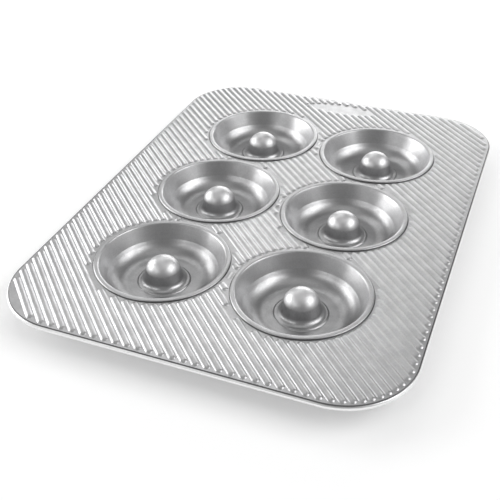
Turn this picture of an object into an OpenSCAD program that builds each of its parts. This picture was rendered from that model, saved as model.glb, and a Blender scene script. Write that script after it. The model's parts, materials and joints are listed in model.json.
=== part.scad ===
// Doughnut pan: one pressed sheet with six ring-shaped wells in a flange of slanting ribs.
// It stands on the flat floors of its wells. The origin is in the middle of the pan, on the table,
// with +Y along the long side.

/* [Sheet and outline] */
// Thickness of the sheet
sheet_t = 0.8; // [0.6:0.1:1]
// Overall width, along X
pan_w = 283; // [275:1:320]
// Overall length, along Y
pan_l = 390; // [384:1:440]
// Outer radius of the pan's corners
corner_r = 50; // [30:1:60]
// Height of the flange's flat surface above the table
flange_h = 19; // [17:0.5:22]

/* [Rolled edge] */
// Diameter of the curl along the edge
curl_d = 4; // [3.4:0.1:5]
// How far round the sheet goes in the curl, in degrees
curl_turn = 290; // [240:5:300]

/* [Ribs] */
// Distance between neighbouring ribs, measured square to them
rib_pitch = 5.48; // [5.4:0.02:7]
// Width of a rib where it leaves the flange
rib_w = 5; // [4:0.1:5.2]
// Height of a rib above the flange
rib_h = 1; // [0.8:0.05:1.2]
// Shift of the whole rib pattern square to the ribs
rib_shift = 1.46; // [-2.7:0.01:2.7]
// Smooth band between the curl and the ribs' round ends
edge_gap = 0.6; // [0.4:0.1:3]
// Smooth band between a well's ring and the ribs' round ends
ring_gap = 0.8; // [0.7:0.1:2]
// Shortest straight run that a rib is made for
rib_min = 0.5; // [0.2:0.1:5]
// Flat left between the two round ends where a rib is broken, at least
rib_break = 0.8; // [0.6:0.1:2]

/* [Smooth patch] */
// Half of the smooth patch's length, along X
patch_l = 32; // [20:1:36]
// Half of the smooth patch's width, along Y
patch_w = 8; // [5:0.5:8]
// Distance from the pan's back edge to the patch's middle
patch_from_edge = 19; // [17:0.5:22]

/* [Wells] */
// Wells across the pan
wells_x = 2; // [1:1:2]
// Wells along the pan
wells_y = 3; // [1:1:3]
// Distance between wells across the pan
well_pitch_x = 103.6; // [101:0.1:110]
// Distance between wells along the pan
well_pitch_y = 101.5; // [101:0.1:110]
// Radius of a well at the flange's level
well_r = 44.4; // [43:0.1:44.6]
// Width of the raised ring round a well
ring_w = 4.2; // [3.6:0.1:4.4]
// Height of the raised ring above the flange
ring_h = 1.3; // [1:0.1:1.6]
// Radius of the crease between a well's wall and its bowl
crease_r = 39.6; // [38:0.1:41]
// Depth of the crease below the flange
crease_depth = 9.6; // [8:0.1:11]
// Slope of the bowl just below the crease, in degrees from level
bowl_slope = 55; // [50:1:60]
// Radius of the bowl's curve into the flat floor
bowl_r = 15.5; // [12:0.5:16]

/* [Post] */
// Radius of the low step round the post's foot
step_r = 19.2; // [18.6:0.1:20.5]
// Height of that step
step_h = 0.8; // [0.6:0.1:1]
// Radius of the hollow between the step and the post
foot_fillet = 2.6; // [2:0.1:3]
// Radius that the post's side would have at the top of the step
post_foot_r = 13.7; // [13.4:0.1:14.5]
// Radius of the post at the line where its round top begins
post_r = 12.4; // [11.8:0.1:12.8]
// Depth of that line below the flange
post_line_depth = 6.9; // [6:0.1:8]
// Radius of the ball that the post's top is a part of
post_ball_r = 13.3; // [13.1:0.1:14.2]

/* [Hidden] */
fine = 72;
bend_fine = 32;
rib_fine = 24;
steel = [0.74, 0.75, 0.76];
// Upper-side radii of the small bends in a well, from the ring inwards
ring_foot_bend = 0.5;
ring_outer_bend = 1.1;
ring_inner_bend = 1.7;
crease_bend = 3;
step_foot_bend = 0.8;
step_top_bend = 1.1;
// Lean of the ring's outer side and of the step's side, as level run
ring_lean = 0.4;
step_lean = 0.6;
// Flat flange that belongs to a well's own section, outside the ring
ring_skirt = 0.5;
curl_r = curl_d / 2;
curl_tongue = 0.5;
plate_x = pan_w / 2 - curl_r;
plate_y = pan_l / 2 - curl_r;
plate_corner_r = corner_r - curl_r;
ring_r = well_r + ring_w;
join_r = ring_r + ring_skirt;
floor_z = sheet_t;
crease_z = flange_h - crease_depth;
bowl_run = (crease_z - floor_z) / tan(bowl_slope);
wall_run = (well_r - crease_r) / crease_depth;
step_z = floor_z + step_h;
post_line_z = flange_h - post_line_depth;
ball_z = post_line_z - sqrt(post_ball_r * post_ball_r - post_r * post_r);
post_lean = (post_foot_r - post_r) / (post_line_z - step_z);
// The post's sides are drawn on up to here, past its round top
post_top = ball_z + post_ball_r + 1;
// A rib's top is part of a round bar that lies mostly below the flange
rib_bar_r = (rib_w * rib_w / 4 + rib_h * rib_h) / (2 * rib_h);
rib_bar_z = flange_h + rib_h - rib_bar_r;
rib_inset = edge_gap + rib_w / 2;
// Depth of that bar's middle line below the flange's surface
rib_bar_depth = rib_bar_r - rib_h;
// How far a rib's solid reaches into the sheet below it
rib_root = 0.05;
well_places = [
    for (i = [0 : wells_x - 1], j = [0 : wells_y - 1])
        [(i - (wells_x - 1) / 2) * well_pitch_x, (j - (wells_y - 1) / 2) * well_pitch_y]
];
patch_y = pan_l / 2 - patch_from_edge;
patch_bow_r = (patch_l * patch_l + patch_w * patch_w) / (2 * patch_w);
// The upper side of a well's sheet, from the flange inwards: [radius, height, bend radius]
well_path = [
    [join_r, flange_h, 0],
    [ring_r, flange_h, ring_foot_bend],
    [ring_r - ring_lean, flange_h + ring_h, ring_outer_bend],
    [well_r + ring_h * wall_run, flange_h + ring_h, ring_inner_bend],
    [crease_r, crease_z, crease_bend],
    [crease_r - bowl_run, floor_z, bowl_r],
    [step_r, floor_z, step_foot_bend],
    [step_r - step_lean, step_z, step_top_bend],
    [post_foot_r, step_z, foot_fillet],
    [post_foot_r - post_lean * (post_top - step_z), post_top, 0]
];

function flat(p) = [p[0], p[1]];
function unit(v) = v / norm(v);
function left_of(d) = [-d[1], d[0]];
function way(path, i) = unit(flat(path[i + 1]) - flat(path[i]));
// Signed angle by which a path turns at its point i, positive to the left
function turn(path, i) =
    let (a = way(path, i - 1), b = way(path, i))
    atan2(a[0] * b[1] - a[1] * b[0], a * b);
// The same point on the surface that lies deeper in the metal by a given amount
function sunk(path, i, less) =
    i == 0 ? flat(path[0]) + less * left_of(way(path, 0)) :
    i == len(path) - 1 ? flat(path[i]) + less * left_of(way(path, i - 1)) :
    let (m = left_of(way(path, i - 1)), n = left_of(way(path, i)))
    flat(path[i]) + less * (m + n) / (1 + m * n);

// What a bend at point i of a sunk path adds to a hollow corner, or takes from a proud one
module bend(path, i, less) {
    overlap = 0.3;
    side = turn(path, i) > 0 ? 1 : -1;
    r = path[i][2] - side * less;
    run = r * tan(abs(turn(path, i)) / 2);
    m = side * left_of(way(path, i - 1));
    n = side * left_of(way(path, i));
    corner = sunk(path, i, less);
    start = corner - run * way(path, i - 1);
    centre = start + r * m;
    from = start - overlap * m;
    to = corner + run * way(path, i) - overlap * n;
    if (r > 0)
        difference() {
            polygon(concat(
                [centre, side > 0 ? from : to],
                [corner - overlap * (m + n)],
                [side > 0 ? to : from]
            ));
            translate(centre)
                circle(r = r, $fn = bend_fine);
        }
}

// Everything below the surface that a path draws, sunk by a given amount, out to a radius
module below(path, less, out_r, bottom) {
    last = len(path) - 1;
    top = sunk(path, last, less);
    difference() {
        union() {
            polygon(concat(
                [[0, top[1]], [0, bottom], [out_r, bottom], [out_r, sunk(path, 0, less)[1]]],
                [for (i = [1 : last]) sunk(path, i, less)]
            ));
            for (i = [1 : last - 1])
                if (turn(path, i) < 0)
                    bend(path, i, less);
        }
        for (i = [1 : last - 1])
            if (turn(path, i) > 0)
                bend(path, i, less);
    }
}

// Half section of everything below a well's surface, with the post's round top
module below_well(less) {
    intersection() {
        below(well_path, less, join_r + less, -sheet_t - less);
        union() {
            translate([0, ball_z])
                circle(r = post_ball_r - less, $fn = fine);
            difference() {
                translate([0, -flange_h])
                    square([2 * join_r, 3 * flange_h]);
                translate([-step_r, (ball_z + post_line_z) / 2])
                    square([2 * step_r, 2 * flange_h]);
            }
        }
    }
}

// Half section of a well's sheet with its ring, wall, bowl, step and post
module well_section() {
    difference() {
        below_well(0);
        below_well(sheet_t);
    }
}

// One well: its section turned round the middle of the post
module well() {
    rotate_extrude($fn = fine)
        well_section();
}

// Round-cornered rectangle, given by its half sizes and corner radius
module round_plate(hx, hy, r) {
    square([2 * hx, 2 * (hy - r)], center = true);
    square([2 * (hx - r), 2 * hy], center = true);
    for (x = [-1, 1], y = [-1, 1])
        translate([x * (hx - r), y * (hy - r)])
            circle(r = r, $fn = fine);
}

// The ribs lie along lines where x + y is constant. Along such a line, at distance s from the middle,
// a span [from, to] is measured towards +X and -Y.
function along(p) = (p[0] - p[1]) / sqrt(2);
function across(p) = (p[0] + p[1]) / sqrt(2);
function disc_span(s, centre, r) =
    let (h = r * r - pow(s - across(centre), 2))
    h > 0 ? [along(centre) - sqrt(h), along(centre) + sqrt(h)] : undef;
function box_span(s, hx, hy) =
    let (from = max(-sqrt(2) * hx - s, s - sqrt(2) * hy), to = min(sqrt(2) * hx - s, s + sqrt(2) * hy))
    from < to ? [from, to] : undef;
function both_spans(p, q) =
    (p == undef || q == undef || max(p[0], q[0]) >= min(p[1], q[1])) ? undef :
    [max(p[0], q[0]), min(p[1], q[1])];
function lens_span(s, centre, hw, bow_r, grow) =
    both_spans(
        disc_span(s, centre + [0, bow_r - hw], bow_r + grow),
        disc_span(s, centre - [0, bow_r - hw], bow_r + grow)
    );
function kept(spans) = [for (p = spans) if (p != undef) p];
// Stretch of the line inside a round-cornered rectangle: two crossed boxes and four discs make it up
function plate_span(s, hx, hy, r) =
    let (parts = kept(concat(
        [box_span(s, hx, hy - r), box_span(s, hx - r, hy)],
        [for (x = [-1, 1], y = [-1, 1]) disc_span(s, [x * (hx - r), y * (hy - r)], r)]
    )))
    len(parts) > 0 ? [min([for (p = parts) p[0]]), max([for (p = parts) p[1]])] : undef;
// What is left of some stretches once a list of spans is taken out of them
function without(free, holes, i = 0) =
    i >= len(holes) ? free :
    without([
        for (f = free)
            for (part = [[f[0], min(f[1], holes[i][0])], [max(f[0], holes[i][1]), f[1]]])
                if (part[1] > part[0]) part
    ], holes, i + 1);
// Stretches that the ribs leave free. A rib runs on through one that is too short for its two round ends
function rib_holes(s) = [
    for (hole = kept(concat(
        [for (p = well_places) disc_span(s, p, ring_r + ring_gap + rib_w / 2)],
        [lens_span(s, [0, patch_y], patch_w, patch_bow_r, rib_w / 2)]
    )))
        if (hole[1] - hole[0] >= rib_w + rib_break) hole
];
rib_lines = ceil((plate_x + plate_y) / sqrt(2) / rib_pitch);
// Every rib as [distance across, start, end]
rib_runs = [
    for (k = [-rib_lines : rib_lines])
        let (
            s = rib_shift + k * rib_pitch,
            whole = plate_span(s, plate_x - rib_inset, plate_y - rib_inset, plate_corner_r - rib_inset)
        )
        for (run = without(kept([whole]), rib_holes(s)))
            if (run[1] - run[0] >= rib_min) [s, run[0], run[1]]
];

// Top of a round bar with ball ends, along +X from the origin, cut off level at the given height
module bar_top(r, length, level) {
    intersection() {
        rotate([0, 90, 0])
            rotate_extrude($fn = rib_fine)
                intersection() {
                    union() {
                        circle(r = r, $fn = rib_fine);
                        translate([0, length])
                            circle(r = r, $fn = rib_fine);
                        translate([-r, 0])
                            square([2 * r, length]);
                    }
                    translate([0, -r])
                        square([r, length + 2 * r]);
                }
        translate([-2 * r, -2 * r, level])
            cube([length + 4 * r, 4 * r, r]);
    }
}

// All the ribs, or with a thickness to take off, the hollows under them, with +X along the ribs
module ribs(less) {
    for (run = rib_runs)
        translate([run[1], run[0], rib_bar_z])
            bar_top(rib_bar_r - less, run[2] - run[1], rib_bar_depth - less - rib_root);
}

// The sheet between the wells and the curl before its ribs are pressed
module flat_sheet() {
    translate([0, 0, flange_h - sheet_t])
        linear_extrude(sheet_t)
            difference() {
                round_plate(plate_x, plate_y, plate_corner_r);
                for (p = well_places)
                    translate(p)
                        circle(r = ring_r + ring_skirt / 2, $fn = fine);
            }
}

// Section of the curl, with a short tongue that overlaps the flat sheet it grows from
module curl_section() {
    translate([-curl_tongue, flange_h - sheet_t])
        square([curl_tongue, sheet_t]);
    translate([0, flange_h - curl_r])
        intersection() {
            difference() {
                circle(r = curl_r, $fn = bend_fine);
                circle(r = curl_r - sheet_t, $fn = bend_fine);
            }
            polygon(concat([[0, 0]], [
                for (k = [0 : 5])
                    let (a = 90 - curl_turn * k / 5)
                    curl_d * [cos(a), sin(a)]
            ]));
        }
}

// The rolled edge: four straight runs and four corners
module curl() {
    run_x = plate_x - plate_corner_r;
    run_y = plate_y - plate_corner_r;
    for (side = [0, 1]) {
        rotate([0, 0, 180 * side])
            translate([plate_x, run_y, 0])
                rotate([90, 0, 0])
                    linear_extrude(2 * run_y)
                        curl_section();
        rotate([0, 0, 180 * side + 90])
            translate([plate_y, run_x, 0])
                rotate([90, 0, 0])
                    linear_extrude(2 * run_x)
                        curl_section();
    }
    for (x = [0, 1], y = [0, 1])
        mirror([x, 0, 0])
            mirror([0, y, 0])
                translate([run_x, run_y, 0])
                    rotate_extrude(angle = 90, $fn = fine)
                        translate([plate_corner_r, 0])
                            curl_section();
}

// Everything but the ribs
module smooth_pan() {
    flat_sheet();
    for (p = well_places)
        translate(p)
            well();
    curl();
}

// The whole pan. Its ribs are added, and hollowed from below, in a frame with +X along them
module pan() {
    color(steel)
        rotate([0, 0, -45])
            difference() {
                union() {
                    rotate([0, 0, 45])
                        smooth_pan();
                    ribs(0);
                }
                ribs(sheet_t);
            }
}

pan();
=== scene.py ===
"""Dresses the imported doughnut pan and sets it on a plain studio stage.

The file is laid out as an add-on. Run as a script, it presses the detailed sheet of the pan in place of
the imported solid, gives it its satin metal finish, and sets up the floor, the lamps and the camera.
"""

import json
import math

import bpy
import numpy as np
from bpy.props import FloatProperty, FloatVectorProperty, IntProperty, PointerProperty
from bpy.types import Operator, Panel, PropertyGroup
from mathutils import Matrix, Vector
from mathutils.geometry import delaunay_2d_cdt

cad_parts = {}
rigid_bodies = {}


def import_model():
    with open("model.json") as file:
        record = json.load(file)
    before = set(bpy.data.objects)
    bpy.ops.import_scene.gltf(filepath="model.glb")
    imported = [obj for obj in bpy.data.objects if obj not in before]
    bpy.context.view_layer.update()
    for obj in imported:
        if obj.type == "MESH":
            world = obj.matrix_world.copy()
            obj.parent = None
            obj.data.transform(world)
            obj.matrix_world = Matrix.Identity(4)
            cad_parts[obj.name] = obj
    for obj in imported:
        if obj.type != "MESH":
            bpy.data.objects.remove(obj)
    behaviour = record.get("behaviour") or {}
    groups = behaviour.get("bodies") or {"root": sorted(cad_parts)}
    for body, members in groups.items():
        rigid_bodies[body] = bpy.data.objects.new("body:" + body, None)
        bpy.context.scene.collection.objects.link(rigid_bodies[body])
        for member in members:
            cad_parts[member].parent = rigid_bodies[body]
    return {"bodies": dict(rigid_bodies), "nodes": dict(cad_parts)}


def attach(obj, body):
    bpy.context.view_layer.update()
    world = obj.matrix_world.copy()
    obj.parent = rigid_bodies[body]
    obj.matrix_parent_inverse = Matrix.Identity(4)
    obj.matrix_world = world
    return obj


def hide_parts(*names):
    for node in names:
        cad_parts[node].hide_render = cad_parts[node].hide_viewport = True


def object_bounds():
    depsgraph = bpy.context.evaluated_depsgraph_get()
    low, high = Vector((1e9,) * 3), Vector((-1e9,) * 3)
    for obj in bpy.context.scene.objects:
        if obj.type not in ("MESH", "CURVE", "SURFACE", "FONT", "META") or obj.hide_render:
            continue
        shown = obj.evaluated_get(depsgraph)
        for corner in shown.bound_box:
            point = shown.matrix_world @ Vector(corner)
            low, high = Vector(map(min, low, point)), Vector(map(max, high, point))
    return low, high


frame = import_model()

bl_info = {
    "name": "Doughnut pan",
    "version": (1, 0, 0),
    "blender": (4, 5, 0),
    "location": "View3D > Sidebar > Doughnut pan",
    "description": "Presses a ribbed doughnut pan from one sheet and sets it on a studio stage",
    "category": "Object",
}

# The startup file's own objects go before the CAD box is taken
CAD_OBJECTS = [*frame["nodes"].values(), *frame["bodies"].values()]
for leftover in [thing for thing in bpy.data.objects if thing not in CAD_OBJECTS]:
    bpy.data.objects.remove(leftover)
CAD_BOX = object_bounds()
CAD_SIZE = CAD_BOX[1] - CAD_BOX[0]

# Unit vectors along the ribs and square to them
ALONG = np.array([1, -1]) / math.sqrt(2)
ACROSS = np.array([1, 1]) / math.sqrt(2)

# Largest turn between neighbouring points of a round stretch: a well's upper and under side, and the curl
UPPER_STEP = math.radians(11)
UNDER_STEP = math.radians(16)
CURL_STEP = math.radians(14)
# Points round a well and round one end of a rib
WELL_POINTS = 80
RIB_END_POINTS = 8
# Steps in a quarter corner of the outline, along one of its sides, and round the curl's lip
CORNER_STEPS = 22
SIDE_STEPS = 10
LIP_STEPS = 6
# Steps across a rib, from its flat foot to where it turns over, and from there to its crest
FOOT_STEPS = 2
CREST_STEPS = 4

# Press radii of a well's bends, in metres
RING_FOOT_BEND = 0.0005
RING_OUTER_BEND = 0.0011
RING_INNER_BEND = 0.0017
CREASE_BEND = 0.003
STEP_FOOT_BEND = 0.0014
STEP_EDGE_BEND = 0.0007
# How far the outer sides of the ring and of the step run inwards on their way up
RING_LEAN = 0.0004
STEP_LEAN = 0.0009
# The flat round a ring that belongs to its well
RING_APRON = 0.0005
# How far from the line round the post its soft edge reaches
LINE_SOFTNESS = 0.0005

# The flange is filled in millimetres, where points closer than this are one
MILLIMETRES = 1000
TOUCHING = 1e-5

# What stands for the place round a well's axis at the points that belong to no well: a long way off
NO_AXIS = (0, 0, 1)

# Where one look goes over into the next, from its first to its last trace. In metres: from a well's axis and
# from its rim for the drawn lines, from its crease for the painted shade in the bowl, and from the line round
# its post for the painted highlight on the post's crown
DRAWN_FROM_AXIS = (0.004, 0.012)
DRAWN_FROM_RIM = (-0.0005, 0.001)
BOWL_SHADE_FROM_CREASE = (-0.006, 0)
CROWN_HIGHLIGHT_FROM_LINE = (-0.002, 0.0005)
# Down the rolled edge, as shares of its diameter: the start and the end of its dark line of painted shade,
# and where its painted highlight, a bright band, begins
EDGE_SHADE_STARTS = (0.003, 0.02)
EDGE_SHADE_ENDS = (0.06, 0.11)
EDGE_HIGHLIGHT_STARTS = (0.09, 0.16)

# The noise's middle value, and its range over which the metal goes from bright to dull
NOISE_MIDDLE = 0.5
DULL_RANGE = (0.32, 0.70)
# Shares of the patches and of the flecks in the metal's clouding, and how much smaller a fleck is
PATCH_SHARE, FLECK_SHARE = 0.6, 0.4
FLECKS_PER_PATCH = 7
# How fast the drawn lines change on their way round, and how much they dull the metal
DRAWN_CHANGE = 1.6
DRAWN_DULLNESS = 0.9
# How much the grain roughens the metal
GRAIN_ROUGHNESS = 0.12

# Near black, which the painted shade mixes into the metal's colour
SHADE = (0.02, 0.02, 0.02, 1)
WHITE = (1, 1, 1, 1)

# Each soft box's direction round the pan and height, in degrees, and its width and height, in metres
SOFT_BOXES = {
    "right": (98, 40, 1.7, 1.0),
    "left": (-88, 19, 1.6, 1.15),
    "back": (-172, 15, 1.5, 0.8),
    "high": (-144, 50, 1.2, 0.8),
    "top": (0, 85, 1.2, 1.2),
    "front": (-30, 36, 0.9, 0.7),
}


# Sizes and colours


def length(name, description, default):
    """A size in metres."""
    return FloatProperty(name=name, description=description, default=default, min=0, precision=5,
                         unit="LENGTH")


def angle(name, description, degrees):
    """An angle, given here in degrees."""
    return FloatProperty(name=name, description=description, default=math.radians(degrees), subtype="ANGLE")


def watts(name, description, default):
    """A lamp's power."""
    return FloatProperty(name=name, description=description, default=default, min=0, precision=1,
                         unit="POWER")


def share(name, description, default, high=1):
    """A plain number."""
    return FloatProperty(name=name, description=description, default=default, min=0, max=high, precision=3)


def colour(name, description, default):
    """A colour in linear red, green and blue."""
    return FloatVectorProperty(name=name, description=description, default=default, size=3, min=0, max=1,
                               subtype="COLOR")


class DOUGHNUT_PAN_sheet(PropertyGroup):
    """The sheet, its outline and its rolled edge"""

    thickness: length("Thickness", "Thickness of the sheet", 0.0008)
    width: length("Width", "Overall width, across the pan", CAD_SIZE[0])
    long: length("Length", "Overall length, along the pan", CAD_SIZE[1])
    corner: length("Corner radius", "Outer radius of the pan's corners", 0.050)
    flange: length("Flange height", "Height of the flange above the table", 0.019)
    curl: length("Curl diameter", "Diameter of the rolled edge", 0.004)
    turn: angle("Curl turn", "How far round the sheet goes in the rolled edge", 290)


class DOUGHNUT_PAN_ribs(PropertyGroup):
    """The slanting ribs of the flange and the smooth patch that they leave free"""

    pitch: length("Pitch", "Distance between neighbouring ribs", 0.00548)
    width: length("Width", "Width of a rib where it leaves the flange", 0.005)
    height: length("Height", "Height of a rib above the flange", 0.001)
    foot: length("Foot radius", "Radius of the hollow along a rib's foot", 0.0004)
    shift: length("Shift", "Shift of the rib pattern, square to the ribs", 0.00146)
    edge_gap: length("Edge gap", "Smooth band between the curl and the ribs' ends", 0.0006)
    ring_gap: length("Ring gap", "Smooth band between a well's ring and the ribs' ends", 0.0008)
    shortest: length("Shortest run", "Shortest straight run that a rib is made for", 0.0005)
    shortest_break: length("Shortest break", "Flat left between two round ends where a rib is broken", 0.0008)
    patch_long: length("Patch half length", "Half of the smooth patch's length", 0.032)
    patch_wide: length("Patch half width", "Half of the smooth patch's width", 0.008)
    patch_inset: length("Patch inset", "From the back edge to the patch's middle", 0.019)


class DOUGHNUT_PAN_wells(PropertyGroup):
    """The ring-shaped wells"""

    across: IntProperty(name="Across", description="Wells across the pan", default=2, min=1)
    along: IntProperty(name="Along", description="Wells along the pan", default=3, min=1)
    pitch_x: length("Pitch across", "Distance between wells across the pan", 0.1036)
    pitch_y: length("Pitch along", "Distance between wells along the pan", 0.1015)
    radius: length("Radius", "Radius of a well at the flange's level", 0.0444)
    ring_width: length("Ring width", "Width of the raised ring round a well", 0.0042)
    ring_height: length("Ring height", "Height of the raised ring above the flange", 0.0013)
    crease: length("Crease radius", "Radius of the crease between wall and bowl", 0.0396)
    crease_depth: length("Crease depth", "Depth of the crease below the flange", 0.0096)
    slope: angle("Bowl slope", "Slope of the bowl just below the crease", 55)
    bowl: length("Bowl radius", "Radius of the bowl's curve into the flat floor", 0.0155)


class DOUGHNUT_PAN_post(PropertyGroup):
    """The post in the middle of a well, with the low step round its foot"""

    step: length("Step radius", "Radius of the low step round the post's foot", 0.0192)
    step_height: length("Step height", "Height of that step", 0.0008)
    hollow: length("Hollow radius", "Radius of the hollow between the step and the post", 0.0045)
    foot: length("Foot radius", "Radius that the post's side would have at the step", 0.0137)
    line: length("Line radius", "Radius of the post where its round top begins", 0.0124)
    line_depth: length("Line depth", "Depth of that line below the flange", 0.0069)
    ball: length("Ball radius", "Radius of the ball that the post's top is a part of", 0.0133)


class DOUGHNUT_PAN_finish(PropertyGroup):
    """The satin finish of the coated steel"""

    metal: colour("Metal", "Colour of the coated steel", (0.55, 0.55, 0.555))
    dull_metal: colour("Dull metal", "Colour of its darker patches", (0.47, 0.47, 0.475))
    # Painted highlight: a lighter colour on the posts' round tops stands in for the broad reflections there
    crown_highlight: colour("Crown metal", "Colour of the posts' round tops, where use has polished them",
                        (0.72, 0.72, 0.725))
    # Painted highlight: a near-white colour on the rolled edge's outer side stands in for its reflection of
    # the lit floor
    edge_highlight: colour("Edge metal", "Colour of the rolled edge, where handling has polished it",
                       (0.9, 0.9, 0.9))
    roughness: share("Roughness", "How dull the metal is where it is brightest", 0.34)
    dull_roughness: share("Dull roughness", "How dull it is in its darker patches", 0.42)
    post_dullness: share("Post dullness", "How much duller the posts are, where the metal stretched most",
                         0.1)
    # Painted shade: the metal's colour is darkened in the wells' bowls
    well_shade: share("Well shade", "How much darker the metal is in the wells' bowls", 0.2)
    coat: share("Coat", "How much clear coat lies on the metal", 0.25)
    coat_roughness: share("Coat roughness", "How dull the clear coat is", 0.2)
    patches: length("Patches", "Size of the faint patches", 0.009)
    grain: length("Grain", "Size of the fine grain", 0.0007)
    grain_depth: length("Grain depth", "Depth of the fine grain", 0.000012)
    grain_shade: share("Grain shade", "How much the fine grain shows as lighter and darker specks", 1.6, 5)
    drawn: length("Drawn lines", "Distance between the lines that drawing left in the wells", 0.0009)
    drawn_depth: length("Drawn depth", "Depth of those lines", 0.000014)
    # Painted shade: a dark line in the crease outside each well's ring; the same darkness paints the dark
    # line along the top of the rolled edge
    crease: length("Dark crease", "Width of the dark line in the crease outside each well's ring", 0.0009)
    crease_shade: share("Crease shade", "How dark that line is", 0.8)


class DOUGHNUT_PAN_stage(PropertyGroup):
    """The floor, the lamps and the camera"""

    floor: length("Floor", "Length of the floor's sides", 2.6)
    floor_colour: colour("Floor colour", "Colour of the floor", (0.9, 0.9, 0.9))
    surround: share("Surround", "Strength of the plain light from all round", 0.2, 10)
    white_up_to: share("White up to", "Height, as a share of straight up, to which the surround is white",
                       0.09)
    glow: share("Floor glow", "How much the floor glows to the camera and in reflections, to come out white",
                0.26)
    azimuth: angle("Azimuth", "Camera's direction round the pan", 21.4718)
    elevation: angle("Elevation", "Camera's height above the floor, as an angle", 35.4282)
    roll: angle("Roll", "Camera's roll", -0.303)
    lens: FloatProperty(name="Lens", description="Camera's focal length, in millimetres", default=58.52)
    camera: FloatVectorProperty(name="Camera", description="Camera's place", size=3, subtype="TRANSLATION",
                                precision=5, default=(0.17586, -0.51123, 0.35728))


class DOUGHNUT_PAN_lamps(PropertyGroup):
    """The soft boxes round the pan"""

    distance: length("Distance", "From the middle of the pan to each soft box", 1.8)
    right: watts("Right", "Power of the soft box on the right", 15.5)
    left: watts("Left", "Power of the low soft box on the left", 20)
    back: watts("Back", "Power of the low soft box behind the pan", 9.0)
    high: watts("High", "Power of the soft box high up behind the pan", 3.6)
    top: watts("Top", "Power of the soft box straight above", 2.4)
    front: watts("Front", "Power of the soft box in front, on the left", 3.0)


# Where the wells and the ribs lie


def well_places(wells):
    """Centre of each well, in plan."""
    middle = np.array([wells.across - 1, wells.along - 1]) / 2
    return [
        (np.array([i, j]) - middle) * [wells.pitch_x, wells.pitch_y]
        for i in range(wells.across)
        for j in range(wells.along)
    ]


def disc_span(across, centre, radius):
    """Stretch inside a disc of the line that lies at a given distance across the ribs."""
    half = radius**2 - (across - ACROSS @ centre) ** 2
    middle = ALONG @ centre
    return (middle - math.sqrt(half), middle + math.sqrt(half)) if half > 0 else None


def box_span(across, half_x, half_y):
    """Stretch of that line inside a box round the origin."""
    low = max(-math.sqrt(2) * half_x - across, across - math.sqrt(2) * half_y)
    high = min(math.sqrt(2) * half_x - across, across + math.sqrt(2) * half_y)
    return (low, high) if low < high else None


def plate_span(across, half_x, half_y, corner):
    """Stretch of that line inside a round-cornered plate: two crossed boxes and four discs make it up."""
    spans = [box_span(across, half_x, half_y - corner), box_span(across, half_x - corner, half_y)]
    for x in (-1, 1):
        for y in (-1, 1):
            centre = np.array([x * (half_x - corner), y * (half_y - corner)])
            spans.append(disc_span(across, centre, corner))
    spans = [span for span in spans if span]
    return (min(low for low, _ in spans), max(high for _, high in spans)) if spans else None


def lens_span(across, centre, half_long, half_wide, grow):
    """Stretch of that line inside a lens, where two discs overlap."""
    bow = (half_long**2 + half_wide**2) / (2 * half_wide)
    lift = np.array([0, bow - half_wide])
    upper = disc_span(across, centre + lift, bow + grow)
    lower = disc_span(across, centre - lift, bow + grow)
    if not upper or not lower:
        return None
    low, high = max(upper[0], lower[0]), min(upper[1], lower[1])
    return (low, high) if low < high else None


def without(spans, hole):
    """What is left of some stretches once a hole is taken out of them."""
    parts = [part for low, high in spans for part in ((low, min(high, hole[0])), (max(low, hole[1]), high))]
    return [(low, high) for low, high in parts if high > low]


def rib_runs(sheet, ribs, wells):
    """Both end points, in plan, of each rib's middle line."""
    half_x, half_y = (sheet.width - sheet.curl) / 2, (sheet.long - sheet.curl) / 2
    inset = ribs.edge_gap + ribs.width / 2
    corner = sheet.corner - sheet.curl / 2 - inset
    clear = wells.radius + wells.ring_width + ribs.ring_gap + ribs.width / 2
    patch = np.array([0, sheet.long / 2 - ribs.patch_inset])
    lines = math.ceil((half_x + half_y) / math.sqrt(2) / ribs.pitch)
    runs = []
    for k in range(-lines, lines + 1):
        across = ribs.shift + k * ribs.pitch
        whole = plate_span(across, half_x - inset, half_y - inset, corner)
        holes = [disc_span(across, place, clear) for place in well_places(wells)]
        holes.append(lens_span(across, patch, ribs.patch_long, ribs.patch_wide, ribs.width / 2))
        spans = [whole] if whole else []
        for hole in filter(None, holes):
            if hole[1] - hole[0] >= ribs.width + ribs.shortest_break:
                spans = without(spans, hole)
        for low, high in spans:
            if high - low >= ribs.shortest:
                runs.append((across * ACROSS + low * ALONG, across * ACROSS + high * ALONG))
    return runs


# Sections. Each is a list of (distance, height, outward normal along the distance, outward normal up)


def angles(start, end, step):
    """Angles from start to end, no further apart than a step."""
    return np.linspace(start, end, max(2, math.ceil(abs(end - start) / step) + 1))


def rib_section(sheet, ribs, under):
    """Half of a rib, from the flat at its foot to its crest: a hollow along the foot, then a round bar.

    The under side has the same centres, one thickness deeper.
    """
    bar = (ribs.width**2 / 4 + ribs.height**2) / (2 * ribs.height)
    bar_centre = sheet.flange + ribs.height - bar
    foot_centre = sheet.flange + ribs.foot
    foot_distance = math.sqrt((bar + ribs.foot) ** 2 - (foot_centre - bar_centre) ** 2)
    steepest = math.asin(foot_distance / (bar + ribs.foot))
    deep = sheet.thickness if under else 0
    side = -1 if under else 1
    section = []
    for a in np.linspace(0, steepest, FOOT_STEPS + 1):
        r = ribs.foot + deep
        section.append((foot_distance - r * math.sin(a), foot_centre - r * math.cos(a),
                        side * math.sin(a), side * math.cos(a)))
    for a in np.linspace(steepest, 0, CREST_STEPS + 1)[1:]:
        r = bar - deep
        section.append((r * math.sin(a), bar_centre + r * math.cos(a),
                        side * math.sin(a), side * math.cos(a)))
    return section


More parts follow.
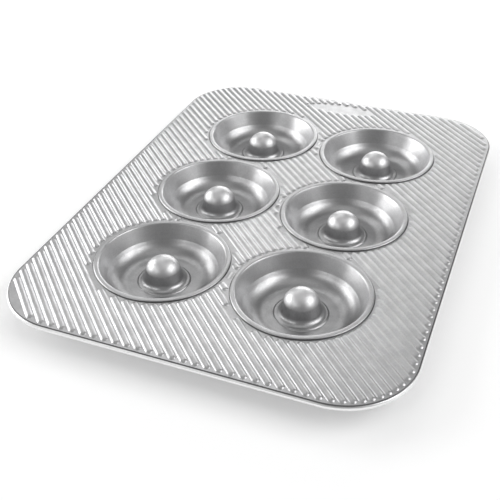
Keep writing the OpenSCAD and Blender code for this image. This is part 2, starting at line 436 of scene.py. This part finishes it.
def well_path(sheet, wells, post):
    """The upper side of a well's sheet, from the flange inwards, as (distance, height, bend radius).

    The last point only gives the way that the post's side goes on, up to its round top.
    """
    ring = wells.radius + wells.ring_width
    ring_top = sheet.flange + wells.ring_height
    crease = sheet.flange - wells.crease_depth
    floor = sheet.thickness
    step_top = floor + post.step_height
    wall_run = (wells.radius - wells.crease) / wells.crease_depth
    bowl_run = (crease - floor) / math.tan(wells.slope)
    post_lean = (post.foot - post.line) / (sheet.flange - post.line_depth - step_top)
    return [
        (ring + RING_APRON, sheet.flange, 0),
        (ring, sheet.flange, RING_FOOT_BEND),
        (ring - RING_LEAN, ring_top, RING_OUTER_BEND),
        (wells.radius + wells.ring_height * wall_run, ring_top, RING_INNER_BEND),
        (wells.crease, crease, CREASE_BEND),
        (wells.crease - bowl_run, floor, wells.bowl),
        (post.step, floor, STEP_FOOT_BEND),
        (post.step - STEP_LEAN, step_top, STEP_EDGE_BEND),
        (post.foot, step_top, post.hollow),
        (post.foot - post_lean * sheet.flange, step_top + sheet.flange, 0),
    ]


def rounded(path, deep, step):
    """Points and upward normals of a path with its bends rounded, one amount deeper in the metal."""
    points = [np.array(p[:2]) for p in path]
    ways = [(b - a) / np.linalg.norm(b - a) for a, b in zip(points, points[1:])]
    inward = [np.array([-w[1], w[0]]) for w in ways]
    section = [(points[0] + deep * inward[0], -inward[0])]
    for i in range(1, len(points) - 1):
        cross = ways[i - 1][0] * ways[i][1] - ways[i - 1][1] * ways[i][0]
        turn = math.atan2(cross, ways[i - 1] @ ways[i])
        side = math.copysign(1, turn)
        centre = points[i] + side * path[i][2] * (inward[i - 1] + inward[i]) / (1 + inward[i - 1] @ inward[i])
        r = path[i][2] - side * deep
        start = math.atan2(*(-side * inward[i - 1])[::-1])
        for a in angles(start, start + turn, step):
            ray = np.array([math.cos(a), math.sin(a)])
            section.append((centre + r * ray, side * ray))
    return section, points[-1] + deep * inward[-1]


def meet(start, end, centre, radius):
    """Where the line from start to end first meets a circle."""
    way = (end - start) / np.linalg.norm(end - start)
    offset = start - centre
    b = offset @ way
    return start + way * (-b + math.sqrt(b * b - offset @ offset + radius * radius))


def well_section(sheet, wells, post, under):
    """Half of a well, from the flange to the post's crown."""
    deep = sheet.thickness if under else 0
    step = UNDER_STEP if under else UPPER_STEP
    section, end = rounded(well_path(sheet, wells, post), deep, step)
    line_height = sheet.flange - post.line_depth
    ball = post.ball - deep
    ball_centre = np.array([0, line_height - math.sqrt(post.ball**2 - post.line**2)])
    last, side_normal = section[-1]
    line = meet(last, end, ball_centre, ball)
    up = (line - last) / np.linalg.norm(line - last)
    line_angle = math.atan2(*(line - ball_centre)[::-1])
    soft_angle = line_angle + LINE_SOFTNESS / ball
    section.append((line - LINE_SOFTNESS * up, side_normal))
    ray = np.array([math.cos(line_angle), math.sin(line_angle)])
    edge_normal = (side_normal + ray) / np.linalg.norm(side_normal + ray)
    section.append((line, edge_normal))
    for a in angles(soft_angle, math.pi / 2, step):
        ray = np.array([math.cos(a), math.sin(a)])
        section.append((ball_centre + ball * ray, ray))
    side = -1 if under else 1
    return [(max(p[0], 0), p[1], side * n[0], side * n[1]) for p, n in section]


def curl_section(sheet):
    """The rolled edge, from the flange's upper side round to its under side, with a rounded lip."""
    outer, inner, half = sheet.curl / 2, sheet.curl / 2 - sheet.thickness, sheet.thickness / 2
    middle = sheet.flange - outer
    start = math.pi / 2
    end = start - sheet.turn + half / (outer - half)
    section = []
    for a in angles(start, end, CURL_STEP):
        section.append((outer * math.cos(a), middle + outer * math.sin(a), math.cos(a), math.sin(a)))
    ray, forward = np.array([math.cos(end), math.sin(end)]), np.array([math.sin(end), -math.cos(end)])
    for a in np.linspace(0, math.pi, LIP_STEPS + 1)[1:-1]:
        normal = math.cos(a) * ray + math.sin(a) * forward
        place = np.array([0, middle]) + (outer - half) * ray + half * normal
        section.append((*place, *normal))
    for a in angles(end, start, CURL_STEP):
        section.append((inner * math.cos(a), middle + inner * math.sin(a), -math.cos(a), -math.sin(a)))
    return section


def how_far_down(sheet, point):
    """How far down the rolled edge's outer side a point of its section lies, as a share of its diameter."""
    distance, height, out, up = point
    outer_side = distance * out + (height - sheet.flange + sheet.curl / 2) * up > 0
    return (sheet.flange - height) / sheet.curl if outer_side else 0


# Outlines in plan. Each is a closed list of (point, outward normal)


def well_outline(place):
    """A whole turn of normals round a well's centre."""
    turns = np.arange(WELL_POINTS) * 2 * math.pi / WELL_POINTS
    return [(place, np.array([math.cos(a), math.sin(a)])) for a in turns]


def plate_outline(half_x, half_y, corner):
    """A round-cornered plate."""
    outline = []
    for quarter, (x, y) in enumerate([(1, 1), (-1, 1), (-1, -1), (1, -1)]):
        centre = np.array([x * (half_x - corner), y * (half_y - corner)])
        for a in np.linspace(quarter, quarter + 1, CORNER_STEPS + 1) * math.pi / 2:
            ray = np.array([math.cos(a), math.sin(a)])
            outline.append((centre + corner * ray, ray))
        nx, ny = [(-x, y), (x, -y)][quarter % 2]
        following = np.array([nx * (half_x - corner), ny * (half_y - corner)]) + corner * ray
        for t in np.linspace(0, 1, SIDE_STEPS + 1)[1:-1]:
            outline.append(((1 - t) * (centre + corner * ray) + t * following, ray))
    return outline


def two_ended_outline(start, end):
    """A line, with a half turn of normals at each end."""
    way = math.atan2(*(end - start)[::-1])
    outline = []
    for place, first in ((start, way + math.pi / 2), (end, way - math.pi / 2)):
        for a in np.linspace(first, first + math.pi, RIB_END_POINTS):
            outline.append((place, np.array([math.cos(a), math.sin(a)])))
    return outline


# The skin of the sheet


class Skin:
    """Points with their outward normals, and the faces between them.

    Each point also has its place round its well's axis, and how far down the rolled edge it lies.
    """

    def __init__(self):
        self.points, self.normals, self.faces, self.from_axis, self.rolled = [], [], [], [], []

    def ring(self, outline, point, axis=None, rolled=0):
        """Adds a closed ring: an outline pushed out by a section's point. Returns the points' numbers."""
        distance, height, out, up = point
        first = len(self.points)
        for place, ray in outline:
            x, y = place + distance * ray
            self.points.append((x, y, height))
            self.normals.append((out * ray[0], out * ray[1], up))
            self.from_axis.append(NO_AXIS if axis is None else (x - axis[0], y - axis[1], 0))
            self.rolled.append(rolled)
        return list(range(first, len(self.points)))

    def apex(self, place, height, up, axis=None):
        """Adds one point that looks straight up or down. Returns its number."""
        self.points.append((*place, height))
        self.normals.append((0, 0, up))
        self.from_axis.append(NO_AXIS if axis is None else (0, 0, 0))
        self.rolled.append(0)
        return len(self.points) - 1

    def join(self, a, b):
        """Joins two rings of the same length by faces, which are triangles where a ring repeats a point."""
        for i in range(len(a)):
            j = (i + 1) % len(a)
            corners = tuple(dict.fromkeys((a[i], a[j], b[j], b[i])))
            if len(corners) > 2:
                self.faces.append(corners)

    def bands(self, rings):
        """Joins each ring to the next and returns the first."""
        for a, b in zip(rings, rings[1:]):
            self.join(a, b)
        return rings[0]

    def turn_outwards(self):
        """Turns over each face that looks into the metal."""
        points, normals = np.array(self.points), np.array(self.normals)
        for k, face in enumerate(self.faces):
            a, b, c, d = points[[face[0], face[1], face[2], face[-1]]]
            facing = np.cross(c - a, d - b) if len(face) > 3 else np.cross(b - a, c - a)
            if facing @ normals[list(face)].sum(0) < 0:
                self.faces[k] = face[::-1]


def press_rib(skin, run, section):
    """One rib on one side of the sheet. Returns the ring at its foot."""
    start, end = run
    outline = two_ended_outline(start, end)
    rings = [skin.ring(outline, point) for point in section[:-1]]
    crest = [skin.apex(place, section[-1][1], section[-1][3]) for place in (start, end)]
    rings.append([crest[0]] * RIB_END_POINTS + [crest[1]] * RIB_END_POINTS)
    return skin.bands(rings)


def press_well(skin, place, section):
    """One well on one side of the sheet. Returns the ring at its rim."""
    outline = well_outline(place)
    rings = [skin.ring(outline, point, place) for point in section[:-1]]
    crown = skin.apex(place, section[-1][1], section[-1][3], place)
    rings.append([crown] * WELL_POINTS)
    return skin.bands(rings)


def fill_flat(skin, rims):
    """Fills the flat parts of the flange between rings, on both sides of the sheet.

    Each rim is the same ring's points on the upper and the under side. The first goes round the pan.
    """
    places, edges, ring_of = [], [], []
    for number, (upper, _) in enumerate(rims):
        first = len(places)
        count = len(upper)
        places += [Vector(skin.points[k][:2]) * MILLIMETRES for k in upper]
        edges += [(first + i, first + (i + 1) % count) for i in range(count)]
        ring_of += [number] * count
    found = delaunay_2d_cdt(places, edges, [], 1, TOUCHING, True)
    if len(found[0]) != len(places):
        raise RuntimeError("The flange's outlines cross each other: its ribs, wells or patch overlap")
    number_of = [origins[0] for origins in found[3]]
    uppers = [k for upper, _ in rims for k in upper]
    unders = [k for _, under in rims for k in under]
    for face in found[2]:
        corners = [number_of[k] for k in face]
        rings = {ring_of[k] for k in corners}
        if len(rings) == 1 and rings != {0}:
            continue
        skin.faces.append(tuple(uppers[k] for k in corners))
        skin.faces.append(tuple(unders[k] for k in corners))


def sheet_skin(sheet, ribs, wells, post):
    """The whole pressed sheet, closed on itself."""
    skin = Skin()
    outline = plate_outline((sheet.width - sheet.curl) / 2, (sheet.long - sheet.curl) / 2,
                            sheet.corner - sheet.curl / 2)
    edge = [skin.ring(outline, point, rolled=how_far_down(sheet, point)) for point in curl_section(sheet)]
    skin.bands(edge)
    rims = [(edge[0], edge[-1])]
    sections = [well_section(sheet, wells, post, under) for under in (False, True)]
    for place in well_places(wells):
        rims.append([press_well(skin, place, section) for section in sections])
    sections = [rib_section(sheet, ribs, under) for under in (False, True)]
    for run in rib_runs(sheet, ribs, wells):
        rims.append([press_rib(skin, run, section) for section in sections])
    fill_flat(skin, rims)
    skin.turn_outwards()
    return skin


def pan_mesh(skin):
    """The skin as a smooth mesh, with each point's own normal and what its finish needs."""
    mesh = bpy.data.meshes.new("pan_sheet")
    mesh.from_pydata(skin.points, [], skin.faces)
    mesh.shade_smooth()
    mesh.normals_split_custom_set_from_vertices(skin.normals)
    layer = mesh.attributes.new("from_axis", "FLOAT_VECTOR", "POINT")
    layer.data.foreach_set("vector", np.array(skin.from_axis, np.float32).ravel())
    layer = mesh.attributes.new("rolled", "FLOAT", "POINT")
    layer.data.foreach_set("value", np.array(skin.rolled, np.float32))
    return mesh


# The finish


class Graph:
    """Adds linked nodes to a node tree."""

    def __init__(self, tree):
        self.tree = tree
        tree.nodes.clear()

    def node(self, kind, settings=None, **inputs):
        """A node with its settings. An input is a value or another node's output."""
        node = self.tree.nodes.new(kind)
        for name, value in (settings or {}).items():
            setattr(node, name, value)
        for name, value in inputs.items():
            socket = node.inputs[int(name[1:]) if name[1:].isdigit() else name.replace("_", " ")]
            if isinstance(value, bpy.types.NodeSocket):
                self.tree.links.new(value, socket)
            else:
                socket.default_value = value
        return node

    def maths(self, operation, *values):
        """A sum with numbers."""
        inputs = {f"i{k}": value for k, value in enumerate(values)}
        return self.node("ShaderNodeMath", {"operation": operation}, **inputs).outputs[0]

    def vector(self, operation, *values):
        """A sum with vectors."""
        inputs = {f"i{k}": value for k, value in enumerate(values)}
        return self.node("ShaderNodeVectorMath", {"operation": operation}, **inputs)

    def noise(self, place, size, detail=2.0, rough=0.5):
        """Soft noise of a given grain size."""
        node = self.node("ShaderNodeTexNoise", Vector=place, Scale=1 / size, Detail=detail, Roughness=rough)
        return node.outputs["Fac"]

    def between(self, value, low, high, out_low, out_high):
        """Maps one range to another, smoothly."""
        node = self.node("ShaderNodeMapRange", {"interpolation_type": "SMOOTHSTEP"}, i0=value, i1=low,
                         i2=high, i3=out_low, i4=out_high)
        return node.outputs[0]

    def mix(self, factor, first, second):
        """A colour that goes over from one to another."""
        node = self.node("ShaderNodeMix", {"data_type": "RGBA"}, Factor=factor, A=first, B=second)
        return node.outputs["Result"]


def satin_metal(finish, wells, post):
    """Pressed and coated steel, with painted highlights on the posts' crowns and the rolled edge, and painted
    shade in the creases and the bowls.
    """
    material = bpy.data.materials.new("satin_metal")
    material.use_nodes = True
    graph = Graph(material.node_tree)
    place = graph.node("ShaderNodeTexCoord").outputs["Object"]
    from_axis = graph.node("ShaderNodeAttribute", {"attribute_name": "from_axis"}).outputs["Vector"]
    rolled = graph.node("ShaderNodeAttribute", {"attribute_name": "rolled"}).outputs["Fac"]
    radius = graph.vector("LENGTH", from_axis).outputs["Value"]

    def near(middle, span, out_low, out_high):
        """Maps a span of the radius, given from a middle."""
        return graph.between(radius, middle + span[0], middle + span[1], out_low, out_high)

    # Lines that drawing left in the wells: noise that changes quickly outwards and slowly round the axis
    in_well = graph.maths("MULTIPLY", near(0, DRAWN_FROM_AXIS, 0.0, 1.0),
                          near(wells.radius, DRAWN_FROM_RIM, 1.0, 0.0))
    ray = graph.vector("NORMALIZE", from_axis).outputs["Vector"]
    spin = graph.node("ShaderNodeVectorMath", {"operation": "SCALE"}, i0=ray, Scale=DRAWN_CHANGE)
    spread = graph.node("ShaderNodeSeparateXYZ", i0=spin.outputs["Vector"])
    around = graph.node("ShaderNodeCombineXYZ", X=graph.maths("DIVIDE", radius, finish.drawn),
                        Y=spread.outputs["X"], Z=spread.outputs["Y"]).outputs[0]
    drawn = graph.noise(around, 1.0, detail=2.0, rough=0.6)
    drawn = graph.maths("MULTIPLY", graph.maths("SUBTRACT", drawn, NOISE_MIDDLE), in_well)

    # Faint patches with smaller flecks in them, and fine grain
    patches = graph.noise(place, finish.patches, detail=3.0, rough=0.55)
    flecks = graph.noise(place, finish.patches / FLECKS_PER_PATCH, detail=3.0, rough=0.6)
    grain = graph.noise(place, finish.grain, detail=2.0, rough=0.7)
    specks = graph.maths("SUBTRACT", grain, NOISE_MIDDLE)
    cloud = graph.maths("ADD", graph.maths("MULTIPLY", patches, PATCH_SHARE),
                        graph.maths("MULTIPLY", flecks, FLECK_SHARE))
    dull = graph.between(cloud, *DULL_RANGE, 0.0, 1.0)
    dull = graph.maths("ADD", dull, graph.maths("MULTIPLY", drawn, DRAWN_DULLNESS))
    dull = graph.maths("ADD", dull, graph.maths("MULTIPLY", specks, finish.grain_shade))

    # The metal's colour: dull and bright, with painted highlights on the posts' crowns and on the rolled edge
    metal = graph.mix(dull, (*finish.metal, 1), (*finish.dull_metal, 1))
    metal = graph.mix(near(post.line, CROWN_HIGHLIGHT_FROM_LINE, 1.0, 0.0), metal, (*finish.crown_highlight, 1))
    metal = graph.mix(graph.between(rolled, *EDGE_HIGHLIGHT_STARTS, 0.0, 1.0), metal, (*finish.edge_highlight, 1))

    # Painted shade: a dark line in the crease outside each ring, darker bowls, and a dark line above the
    # rolled edge's painted highlight
    from_crease = graph.maths("ABSOLUTE", graph.maths("SUBTRACT", radius, wells.radius + wells.ring_width))
    crease = graph.between(from_crease, finish.crease / 5, finish.crease / 2, finish.crease_shade, 0.0)
    bowl = graph.maths("MULTIPLY", graph.between(radius, post.line, post.step, 0.0, finish.well_shade),
                       near(wells.crease, BOWL_SHADE_FROM_CREASE, 1.0, 0.0))
    line = graph.maths("MULTIPLY", graph.between(rolled, *EDGE_SHADE_STARTS, 0.0, finish.crease_shade),
                       graph.between(rolled, *EDGE_SHADE_ENDS, 1.0, 0.0))
    shade = graph.maths("MAXIMUM", graph.maths("MAXIMUM", crease, bowl), line)

    rough = graph.between(dull, 0.0, 1.0, finish.roughness, finish.dull_roughness)
    rough = graph.maths("ADD", rough, graph.maths("MULTIPLY", specks, GRAIN_ROUGHNESS))
    rough = graph.maths("ADD", rough, graph.between(radius, post.line, post.foot, finish.post_dullness, 0.0))
    height = graph.maths("ADD", graph.maths("MULTIPLY", grain, finish.grain_depth),
                         graph.maths("MULTIPLY", drawn, finish.drawn_depth))
    bump = graph.node("ShaderNodeBump", Strength=1.0, Distance=1.0, Height=height).outputs[0]
    shader = graph.node("ShaderNodeBsdfPrincipled", Base_Color=graph.mix(shade, metal, SHADE), Metallic=1.0,
                        Roughness=rough, Normal=bump, Coat_Weight=finish.coat,
                        Coat_Roughness=finish.coat_roughness)
    graph.node("ShaderNodeOutputMaterial", Surface=shader.outputs[0])
    return material


# The stage


def stage_floor(stage):
    """A large pale floor. The camera and the metal see it white where it is fully lit, with a soft shadow."""
    half = stage.floor / 2
    corners = [(-half, -half, 0), (half, -half, 0), (half, half, 0), (-half, half, 0)]
    mesh = bpy.data.meshes.new("floor")
    mesh.from_pydata(corners, [], [(0, 1, 2, 3)])
    material = bpy.data.materials.new("floor_paper")
    material.use_nodes = True
    graph = Graph(material.node_tree)
    paper = graph.node("ShaderNodeBsdfDiffuse", Color=(*stage.floor_colour, 1))
    glow = graph.node("ShaderNodeEmission", Color=WHITE, Strength=stage.glow)
    both = graph.node("ShaderNodeAddShader", i0=paper.outputs[0], i1=glow.outputs[0])
    ray = graph.node("ShaderNodeLightPath").outputs
    seen = graph.maths("MAXIMUM", ray["Is Camera Ray"], ray["Is Glossy Ray"])
    seen = graph.maths("MAXIMUM", seen, ray["Is Transmission Ray"])
    shader = graph.node("ShaderNodeMixShader", Fac=seen, i1=paper.outputs[0], i2=both.outputs[0])
    graph.node("ShaderNodeOutputMaterial", Surface=shader.outputs[0])
    mesh.materials.append(material)
    floor = bpy.data.objects.new("floor", mesh)
    bpy.context.collection.objects.link(floor)


def toward(azimuth, elevation):
    """The direction from the pan to something round it. Azimuth 0 is in front, and 90 on the right."""
    flat = math.cos(elevation)
    return Vector((math.sin(azimuth) * flat, -math.cos(azimuth) * flat, math.sin(elevation)))


def soft_box(name, azimuth, elevation, distance, width, height, power):
    """A soft box that looks at the pan."""
    light = bpy.data.lights.new(name, "AREA")
    light.shape = "RECTANGLE"
    light.size, light.size_y = width, height
    light.energy = power
    lamp = bpy.data.objects.new(name, light)
    way = toward(math.radians(azimuth), math.radians(elevation))
    lamp.location = way * distance
    lamp.rotation_euler = way.to_track_quat("Z", "Y").to_euler()
    bpy.context.collection.objects.link(lamp)


def light_world(stage):
    """An even grey light from above that turns white near the horizon, behind the floor's edge."""
    world = bpy.data.worlds.new("surround")
    world.use_nodes = True
    graph = Graph(world.node_tree)
    way = graph.node("ShaderNodeTexCoord").outputs["Generated"]
    way = graph.vector("NORMALIZE", way).outputs["Vector"]
    height = graph.node("ShaderNodeSeparateXYZ", i0=way).outputs["Z"]
    strength = graph.between(height, stage.white_up_to, 2 * stage.white_up_to, 1.0, stage.surround)
    light = graph.node("ShaderNodeBackground", Color=WHITE, Strength=strength)
    graph.node("ShaderNodeOutputWorld", Surface=light.outputs[0])
    bpy.context.scene.world = world


def place_camera(stage):
    """The camera at the photograph's viewing angle."""
    roll = stage.roll
    back = toward(stage.azimuth, stage.elevation)
    right = Vector((math.cos(stage.azimuth), math.sin(stage.azimuth), 0))
    up = back.cross(right)
    rolled_right = math.cos(roll) * right + math.sin(roll) * up
    rolled_up = math.cos(roll) * up - math.sin(roll) * right
    data = bpy.data.cameras.new("camera")
    data.sensor_width = 36
    data.lens = stage.lens
    data.clip_start, data.clip_end = 0.01, 20
    camera = bpy.data.objects.new("camera", data)
    turned = Matrix((rolled_right, rolled_up, back)).transposed().to_4x4()
    camera.matrix_world = Matrix.Translation(stage.camera) @ turned
    bpy.context.collection.objects.link(camera)
    bpy.context.scene.camera = camera


# Operators and panel


class DOUGHNUT_PAN_OT_press(Operator):
    """Press the pan from one sheet, with its wells, ribs and rolled edge, in its satin finish"""

    bl_idname = "doughnut_pan.press"
    bl_label = "Press the pan"

    def execute(self, context):
        scene = context.scene
        skin = sheet_skin(scene.pan_sheet, scene.pan_ribs, scene.pan_wells, scene.pan_post)
        mesh = pan_mesh(skin)
        mesh.materials.append(satin_metal(scene.pan_finish, scene.pan_wells, scene.pan_post))
        pan = bpy.data.objects.new("pan_sheet", mesh)
        context.collection.objects.link(pan)
        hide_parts("pan")
        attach(pan, "root")
        return {"FINISHED"}


class DOUGHNUT_PAN_OT_stage(Operator):
    """Set up the floor, the lamps and the camera"""

    bl_idname = "doughnut_pan.stage"
    bl_label = "Set up the stage"

    def execute(self, context):
        stage, lamps = context.scene.pan_stage, context.scene.pan_lamps
        stage_floor(stage)
        light_world(stage)
        for name, (azimuth, elevation, width, height) in SOFT_BOXES.items():
            soft_box(name, azimuth, elevation, lamps.distance, width, height, getattr(lamps, name))
        place_camera(stage)
        context.scene.view_settings.view_transform = "Standard"
        return {"FINISHED"}


class DOUGHNUT_PAN_PT_sizes(Panel):
    """The pan's sizes, finish and stage"""

    bl_idname = "DOUGHNUT_PAN_PT_sizes"
    bl_label = "Doughnut pan"
    bl_space_type = "VIEW_3D"
    bl_region_type = "UI"
    bl_category = "Doughnut pan"

    def draw(self, context):
        for name, (group, title) in GROUPS.items():
            box = self.layout.box()
            box.label(text=title)
            settings = getattr(context.scene, name)
            for key in group.__annotations__:
                box.prop(settings, key)
        self.layout.operator(DOUGHNUT_PAN_OT_press.bl_idname)
        self.layout.operator(DOUGHNUT_PAN_OT_stage.bl_idname)


GROUPS = {
    "pan_sheet": (DOUGHNUT_PAN_sheet, "Sheet"),
    "pan_ribs": (DOUGHNUT_PAN_ribs, "Ribs"),
    "pan_wells": (DOUGHNUT_PAN_wells, "Wells"),
    "pan_post": (DOUGHNUT_PAN_post, "Posts"),
    "pan_finish": (DOUGHNUT_PAN_finish, "Finish"),
    "pan_stage": (DOUGHNUT_PAN_stage, "Stage"),
    "pan_lamps": (DOUGHNUT_PAN_lamps, "Soft boxes"),
}
CLASSES = [group for group, _ in GROUPS.values()] + [
    DOUGHNUT_PAN_OT_press,
    DOUGHNUT_PAN_OT_stage,
    DOUGHNUT_PAN_PT_sizes,
]


def register():
    for cls in CLASSES:
        bpy.utils.register_class(cls)
    for name, (group, _) in GROUPS.items():
        setattr(bpy.types.Scene, name, PointerProperty(type=group))


def unregister():
    for name in GROUPS:
        delattr(bpy.types.Scene, name)
    for cls in reversed(CLASSES):
        bpy.utils.unregister_class(cls)


def main():
    register()
    bpy.ops.doughnut_pan.press()
    bpy.ops.doughnut_pan.stage()


if __name__ == "__main__":
    main()
